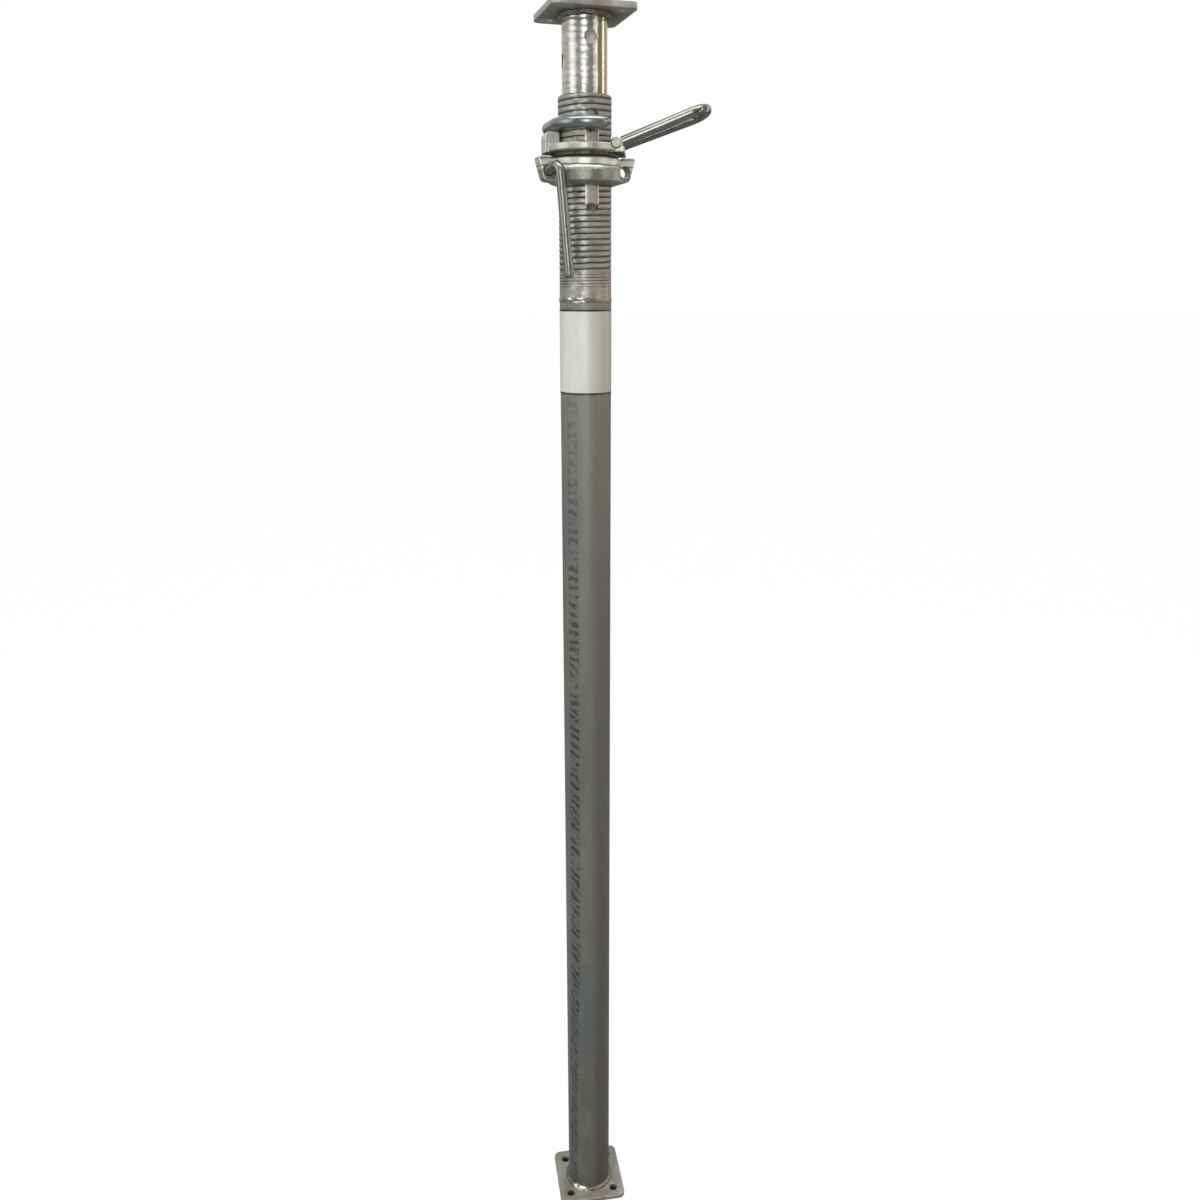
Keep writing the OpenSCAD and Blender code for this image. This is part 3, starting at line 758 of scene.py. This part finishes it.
MATERIALS = {
    "tube_steel": outer_zinc(),
    "inner_steel": inner_zinc(),
    "thread_steel": thread_zinc(),
    "cast_ring": cast_zinc("cast_ring", *RING_TONES, RING_SHADE_BANDS),
    "cast_nut": cast_zinc("cast_nut", *NUT_TONES, NUT_GLINT_SHADE_BANDS),
    "hook_steel": rod_zinc("hook_steel", (0.15, 0.168, 0.168), (0.225, 0.245, 0.244), 0.27, 0.03),
    "handle_steel": rod_zinc("handle_steel", (0.135, 0.133, 0.12), (0.19, 0.187, 0.17), 0.20, 0.0, 0.0),
    "rod_steel": rod_zinc("rod_steel", (0.155, 0.153, 0.136), (0.21, 0.208, 0.186), 0.26, 0.05),
    "pin_steel": rod_zinc("pin_steel", (0.22, 0.215, 0.18), (0.30, 0.295, 0.25), 0.42, 0.3),
    "plate_steel": plate_zinc("plate_steel", (0.21, 0.205, 0.170), (0.31, 0.303, 0.255), 0.45),
    "head_steel": plate_zinc("head_steel", (0.22, 0.213, 0.185), (0.33, 0.322, 0.285), 0.7, 0.85),
    "weld": stand_weld(),
    "head_weld": weld_zinc("head_weld", (0.10, 0.097, 0.076), (0.20, 0.195, 0.16), 0.46),
    "label": label_film(),
}


def stand_in(obj, node, body, finish):
    """obj takes a CAD node's place, on its body and in its finish."""
    obj.data.materials.clear()
    obj.data.materials.append(MATERIALS[finish])
    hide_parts(node)
    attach(obj, body)
    return obj


def repaint(node, finish):
    mesh = NODES[node].data
    mesh.materials.clear()
    mesh.materials.append(MATERIALS[finish])


# ---------------------------------------------------------------- pieces


def thread_radius(angle, z):
    """Outside radius of the neck: round ribs with narrow grooves, which fade out above the weld."""
    turn = angle / (2 * math.pi)
    rib = abs(math.cos(math.pi * (z / THREAD_PITCH - turn))) ** 0.42
    fade = min(1.0, max(0.0, (z - THREAD_FOOT) / THREAD_FADE))
    groove = THREAD_DEPTH * fade * (1 - rib)
    near = max(0.0, 1 - abs(z - (THREAD_FOOT - THREAD_FADE)) / RIPPLE_SPAN) ** 0.5
    ripple = RIPPLE_DEPTH * near * (0.5 + 0.5 * math.cos(2 * math.pi * (z / RIPPLE_PITCH - turn))) ** 2
    chamfer = max(0.0, z - (NECK_HI.z - NECK_CHAMFER))
    spot = Vector((math.cos(angle) * 3, math.sin(angle) * 3, z * 90))
    dent = 0.10 * MM * (0.5 + 0.5 * noise.noise(spot))
    return NECK_R - groove - ripple - chamfer - dent


def make_neck():
    """The threaded neck: rows of points up the outside, then the bore, closed to a tube and slotted."""
    sides, step = 176, 0.62 * MM
    angles = [2 * math.pi * k / sides for k in range(sides)]
    rows = round((NECK_HI.z - NECK_LO.z) / step)
    verts, faces = [], []
    for i in range(rows + 1):
        z = NECK_LO.z + (NECK_HI.z - NECK_LO.z) * i / rows
        for a in angles:
            r = thread_radius(a, z)
            verts.append(Vector((r * math.cos(a), r * math.sin(a), z)))
    for z in (NECK_HI.z, NECK_LO.z):
        for a in angles:
            verts.append(Vector((NECK_BORE_R * math.cos(a), NECK_BORE_R * math.sin(a), z)))
    for i in range(rows + 3):
        low, high = i * sides, (i + 1) % (rows + 3) * sides
        for k in range(sides):
            m = (k + 1) % sides
            faces.append((low + k, low + m, high + m, high + k))
    neck = add_piece("neck_thread", verts, faces)
    cut_out(neck, slot_prism())
    shade(neck, 42)
    return stand_in(neck, "threaded_neck", "stand", "thread_steel")


def slot_prism():
    """A round-ended prism along Y, to cut the slot through both walls."""
    outline = []
    steps = 16
    for centre, start in ((SLOT_TOP - SLOT_HALF, 0.0), (SLOT_FOOT + SLOT_HALF, math.pi)):
        for i in range(steps + 1):
            a = start + math.pi * i / steps
            outline.append((SLOT_HALF * math.cos(a), centre + SLOT_HALF * math.sin(a)))
    n = len(outline)
    verts = [Vector((x, y, z)) for y in (-NECK_R * 1.5, NECK_R * 1.5) for x, z in outline]
    faces = [tuple(range(n)), tuple(range(2 * n - 1, n - 1, -1))]
    faces += [(k, n + k, n + (k + 1) % n, (k + 1) % n) for k in range(n)]
    return add_piece("slot_prism", verts, faces)


def cut_out(obj, cutter):
    cut = obj.modifiers.new("cut", "BOOLEAN")
    cut.operation = "DIFFERENCE"
    cut.solver = "EXACT"
    cut.object = cutter
    apply_modifiers(obj)
    bpy.data.objects.remove(cutter)


def make_hook():
    """The G-shaped pin: a straight pin behind, a leg on the left and a loop round the front."""
    r = (HOOK_HI.z - HOOK_LO.z) / 2
    level = (HOOK_HI.z + HOOK_LO.z) / 2
    leg_x = -HOOK_LO.x - r
    back_y = HOOK_HI.y - r
    centre_y = HOOK_LO.y + r + leg_x
    tip_y = -(NECK_R + 10 * MM)
    rear_bend = 14 * MM
    side_bend = leg_x - rear_bend - 0.01 * MM
    past_front = math.radians(24.5)
    places = ((0, tip_y), (0, back_y), (-leg_x, back_y), (-leg_x, centre_y))
    line = bent_line([Vector((x, y, level)) for x, y in places], [rear_bend, side_bend], 18)
    line += arc(Vector((0, centre_y, level)), line[-1], Vector((0, 0, 1)), math.pi / 2 + past_front, 60)
    line = [p for i, p in enumerate(line) if i == 0 or (p - line[i - 1]).length > 1e-6]
    hook = rod("hook_rod", line, r, 44, (5 * MM, 12 * MM), 0.04 * MM, 3)
    return stand_in(hook, "g_hook", "hook", "hook_steel")


def make_drop_rod():
    """The rod hung in the left lug: a level end through the lug, a crook and a straight leg in front."""
    r = 7 * MM
    x, _, hole_z = JOINTS["rod_swing"]["pos_m"]
    rest_z = hole_z - 0.2 * MM
    leg_y = ROD_LO.y + r + 1 * MM
    bend = 9 * MM
    corners = [
        Vector((x, 24 * MM, rest_z)),
        Vector((x, -26 * MM, rest_z)),
        Vector((x + 8 * MM, leg_y, hole_z + 10 * MM)),
        Vector((x + 21 * MM, leg_y, ROD_LO.z)),
    ]
    piece = rod("drop_bar", bent_line(corners, [bend, bend]), r, 40, (1.2 * MM, 1.6 * MM), 0.04 * MM, 9)
    return stand_in(piece, "drop_rod", "rod", "rod_steel")


def joined(first, *others):
    """The meshes of several objects in the first one."""
    bm = bmesh.new()
    for obj in (first, *others):
        bm.from_mesh(obj.data)
    bm.to_mesh(first.data)
    bm.free()
    for obj in others:
        bpy.data.objects.remove(obj)
    return first


def eye(centre, axis):
    """The rolled eye at the end of a handle's leg, round the pin."""
    half, inner, outer = 7.5 * MM, 4.9 * MM, 7.3 * MM
    section = [(inner, -half), (outer, -half), (outer, half), (inner, half)]
    ring = ring_of("eye", section, 48, 0.0, lambda angle, share: (0.0, 0.0))
    turn = axis.to_track_quat("Z", "Y").to_matrix().to_4x4()
    ring.data.transform(Matrix.Translation(centre) @ turn)
    shade(ring, 40)
    return ring


def make_handle():
    """The loop handle: a bar bent to a loop, its legs a little out of line, with an eye on each leg."""
    joint = JOINTS["handle_lift"]
    pivot, axis = Vector(joint["pos_m"]), Vector(joint["axis"])
    rise = math.radians(20)
    along = axis.cross(Vector((0, 0, -1))) * math.cos(rise) + Vector((0, 0, math.sin(rise)))
    normal = axis.cross(along)
    if normal.z < 0:
        normal = -normal
    half, start, end = 22 * MM, 5.6 * MM, 132 * MM
    near_off, far_off = 1.5 * MM, -2.8 * MM
    near, far = pivot + axis * half, pivot - axis * half
    corners = [
        near + along * start,
        near + along * end + normal * near_off,
        far + along * end + normal * far_off,
        far + along * start,
    ]
    bend = half - 0.1 * MM
    bar = rod("handle_bar", bent_line(corners, [bend, bend], 22), 6.8 * MM, 44)
    handle = joined(bar, eye(near, axis), eye(far, axis))
    return stand_in(handle, "handle_loop", "handle", "handle_steel")


def lap(count, angle, share, lean):
    """Where a point lies in its ripple, from 0 to 1; the ripples lean over the bead."""
    return math.fmod(count * angle / (2 * math.pi) + lean * math.sin(math.pi * share), 1.0)


def fillet_bead(name, node, body, level, sign, tube_r, ripples, seed, finish):
    """Fillet weld laid as ripples round a tube, upward from level for sign 1 and downward for -1."""
    leg = 6 * MM
    throat = 0.92 * leg
    sunk_r, face_r = tube_r - 0.4 * MM, tube_r + 0.05 * MM
    section = [(sunk_r, 0.0)]
    for i in range(BEAD_POINTS):
        f = math.pi / 2 * i / (BEAD_POINTS - 1)
        bulge = throat * (1 + 0.10 * math.sin(2 * f))
        section.append((face_r + bulge * math.cos(f), sign * bulge * math.sin(f)))
    section.append((sunk_r, sign * throat))

    def wobble(a, share):
        if share in (0.0, 1.0):
            return 0.0, 0.0
        n = noise.noise(Vector((math.cos(a) * 4 + seed, math.sin(a) * 4, share)))
        size = leg * (0.06 * (lap(ripples, a, share, 0.6) - 0.5) + 0.10 * n) * math.sin(math.pi * share)
        return size * 0.7, sign * size * 0.7

    ring = ring_of(name, section, ripples * 12, level, wobble)
    return stand_in(ring, node, body, finish)


def neck_bead():
    """Low butt weld between the outer tube and the neck, with fine ripples."""
    lo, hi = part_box("neck_weld")
    half = (hi.z - lo.z) / 2
    rise = hi.x - NECK_R
    sunk_r, face_r = NECK_R - 0.3 * MM, NECK_R + 0.05 * MM
    section = [(sunk_r, -half)]
    for i in range(BEAD_POINTS):
        f = math.pi * i / (BEAD_POINTS - 1)
        section.append((face_r + rise * math.sin(f), -half * math.cos(f)))
    section.append((sunk_r, half))

    def wobble(a, share):
        n = noise.noise(Vector((math.cos(a) * 5, math.sin(a) * 5, share * 2)))
        ripple = 0.12 * (lap(70, a, share, 0.5) - 0.5)
        return math.sin(math.pi * share) * rise * (0.2 * n + ripple - 0.25), 0.25 * half * n

    ring = ring_of("neck_bead", section, 840, (hi.z + lo.z) / 2, wobble)
    return stand_in(ring, "neck_weld", "stand", "weld")


def make_nut():
    """The nut as a casting whose underside is drawn up at its rim."""
    nut = cast_copy("adjusting_nut", "nut_casting", 0.9 * MM, 5, 0.35 * MM)
    waist = NUT_LO.z + 12 * MM
    rim, lift = 14 * MM, 0.36
    for v in nut.data.vertices:
        if v.co.z < waist:
            out = min(1.0, max(0.0, (math.hypot(v.co.x, v.co.y) - NECK_R) / rim))
            v.co.z = waist - (waist - v.co.z) * (1 - lift * out)
    return stand_in(nut, "adjusting_nut", "nut", "cast_nut")


def make_ring():
    ring = cast_copy("release_ring", "ring_casting", 0.8 * MM, 4, 0.3 * MM)
    return stand_in(ring, "release_ring", "ring", "cast_ring")


make_neck()
make_hook()
make_drop_rod()
make_nut()
make_handle()
make_ring()
stand_in(soft_copy("base_plate", "foot_plate", 1.2 * MM), "base_plate", "stand", "plate_steel")
stand_in(soft_copy("head_plate", "top_plate", 1.2 * MM), "head_plate", "inner", "head_steel")
fillet_bead("foot_bead", "base_weld", "stand", BASE_TOP, 1, NECK_R, 34, 1, "weld")
fillet_bead("top_bead", "head_weld", "inner", HEAD_UNDER, -1, INNER_R, 30, 5, "head_weld")
neck_bead()
for node, finish in (
    ("outer_tube", "tube_steel"),
    ("inner_tube", "inner_steel"),
    ("tail_bush", "tube_steel"),
    ("handle_pin", "pin_steel"),
    ("label_band", "label"),
):
    repaint(node, finish)

# ---------------------------------------------------------------- stage and lights


def corner_reach(g):
    """Distance from the axis square to the base plate's nearest side, as a socket."""
    turn = g.put("ShaderNodeMapping")
    g.link(g.put("ShaderNodeTexCoord").outputs["Object"], turn.inputs["Vector"])
    turn.inputs["Rotation"].default_value = (0, 0, PLATE_TURN)
    parts = g.split(turn.outputs["Vector"])
    return g.math("MAXIMUM", g.magnitude(parts["X"]), g.magnitude(parts["Y"]))


def make_floor():
    """Pale floor that keeps the prop's shadow, with painted shade round the foot and under the base
    plate, where no light gets in.
    """
    half = 60.0
    corners = [(-half, -half, 0), (half, -half, 0), (half, half, 0), (-half, half, 0)]
    floor = add_piece("floor", corners, [(0, 1, 2, 3)])
    floor.location.z = -0.4 * MM
    material = bpy.data.materials.new("floor_white")
    material.use_nodes = True
    material.node_tree.nodes.clear()
    g = Graph(material.node_tree)
    # painted shade: a dark floor round the foot, shown without its glow under the base plate
    shaded_round_foot = g.below(reach(g, g.put("ShaderNodeTexCoord").outputs["Object"]), 65 * MM)
    paper = g.put("ShaderNodeBsdfDiffuse")
    g.link(g.mix(shaded_round_foot, (0.42, 0.42, 0.42), (0.02, 0.02, 0.02)), paper.inputs["Color"])
    glow = g.put("ShaderNodeEmission")
    glow.inputs["Strength"].default_value = 1.06
    mix = g.put("ShaderNodeMixShader")
    seen = g.put("ShaderNodeLightPath").outputs["Is Camera Ray"]
    under = g.times(shaded_round_foot, g.below(corner_reach(g), PLATE_HALF))
    open_floor = g.minus(1.0, under)
    g.link(g.times(g.times(seen, 0.92), open_floor), mix.inputs["Fac"])
    g.link(paper.outputs[0], mix.inputs[1])
    g.link(glow.outputs[0], mix.inputs[2])
    out = g.put("ShaderNodeOutputMaterial")
    g.link(mix.outputs[0], out.inputs["Surface"])
    floor.data.materials.append(material)


def make_world():
    """White for the camera. For the light a soft room, brighter on the left, and in mirrors behind."""
    world = bpy.data.worlds.new("studio")
    bpy.context.scene.world = world
    world.use_nodes = True
    world.node_tree.nodes.clear()
    g = Graph(world.node_tree)
    path = g.put("ShaderNodeLightPath")
    way = g.split(g.put("ShaderNodeTexCoord").outputs["Generated"])
    depth = g.ramp(g.plus(g.times(way["Y"], 0.5), 0.5), (0.25, 0.20), (0.62, 0.85))
    white = g.put("ShaderNodeBackground")
    white.inputs["Color"].default_value = (1, 1, 1, 1)
    room = g.put("ShaderNodeBackground")
    g.link(depth, room.inputs["Color"])
    soft = g.put("ShaderNodeBackground")
    side = g.plus(g.times(way["X"], -0.5), 0.5)
    g.link(g.shades(side, (0.34, 0.325, 0.30), (0.66, 0.66, 0.66), 0.15, 0.85), soft.inputs["Color"])
    seen = g.put("ShaderNodeMixShader")
    mirrored = g.math("MAXIMUM", path.outputs["Is Glossy Ray"], path.outputs["Is Transmission Ray"])
    g.link(mirrored, seen.inputs["Fac"])
    g.link(soft.outputs[0], seen.inputs[1])
    g.link(room.outputs[0], seen.inputs[2])
    top = g.put("ShaderNodeMixShader")
    g.link(path.outputs["Is Camera Ray"], top.inputs["Fac"])
    g.link(seen.outputs[0], top.inputs[1])
    g.link(white.outputs[0], top.inputs[2])
    out = g.put("ShaderNodeOutputWorld")
    g.link(top.outputs[0], out.inputs["Surface"])


def make_light(name, azimuth, away, height, size, power, colour=(1, 1, 1)):
    """Area light round the prop. Azimuth 0 is in front, at -Y, and 90 on the left, at -X."""
    lamp = bpy.data.lights.new(name, "AREA")
    lamp.shape = "RECTANGLE"
    lamp.size, lamp.size_y = size
    lamp.energy = power
    lamp.color = colour
    obj = bpy.data.objects.new(name, lamp)
    a = math.radians(azimuth)
    obj.location = (-math.sin(a) * away, -math.cos(a) * away, height)
    aim = Vector((0, 0, LAMPS_AIM)) - obj.location
    obj.rotation_euler = aim.to_track_quat("-Z", "Y").to_euler()
    bpy.context.scene.collection.objects.link(obj)


make_floor()
make_world()
make_light("key", 78, 1.9, 1.9, (1.0, 1.9), 15)
make_light("front", 20, 2.2, 2.0, (0.46, 1.9), 14)
make_light("fill", 15.6, 1.9, 1.75, (0.14, 1.2), 6.5)
make_light("side", -47, 2.0, 1.7, (0.06, 2.0), 9, (1.0, 0.96, 0.87))
make_light("rim", -91, 1.8, 1.8, (0.08, 2.0), 8, (1.0, 0.93, 0.82))
make_light("top", 12, 0.6, 3.6, (2.6, 1.2), 56)

# ---------------------------------------------------------------- camera

CAMERA_PLACE = (-0.4295, -1.5372, 1.6433)
CAMERA_DOWN = math.radians(16.84)
CAMERA_TURN = math.radians(-16.38)
CAMERA_LENS = 31.17  # mm, on a sensor 36 mm wide

camera = bpy.data.objects.new("camera", bpy.data.cameras.new("camera"))
bpy.context.scene.collection.objects.link(camera)
camera.location = CAMERA_PLACE
camera.rotation_euler = (math.pi / 2 - CAMERA_DOWN, 0, CAMERA_TURN)
camera.data.sensor_width = 36
camera.data.lens = CAMERA_LENS
camera.data.clip_start = 0.02
bpy.context.scene.camera = camera
bpy.context.scene.view_settings.view_transform = "Standard"
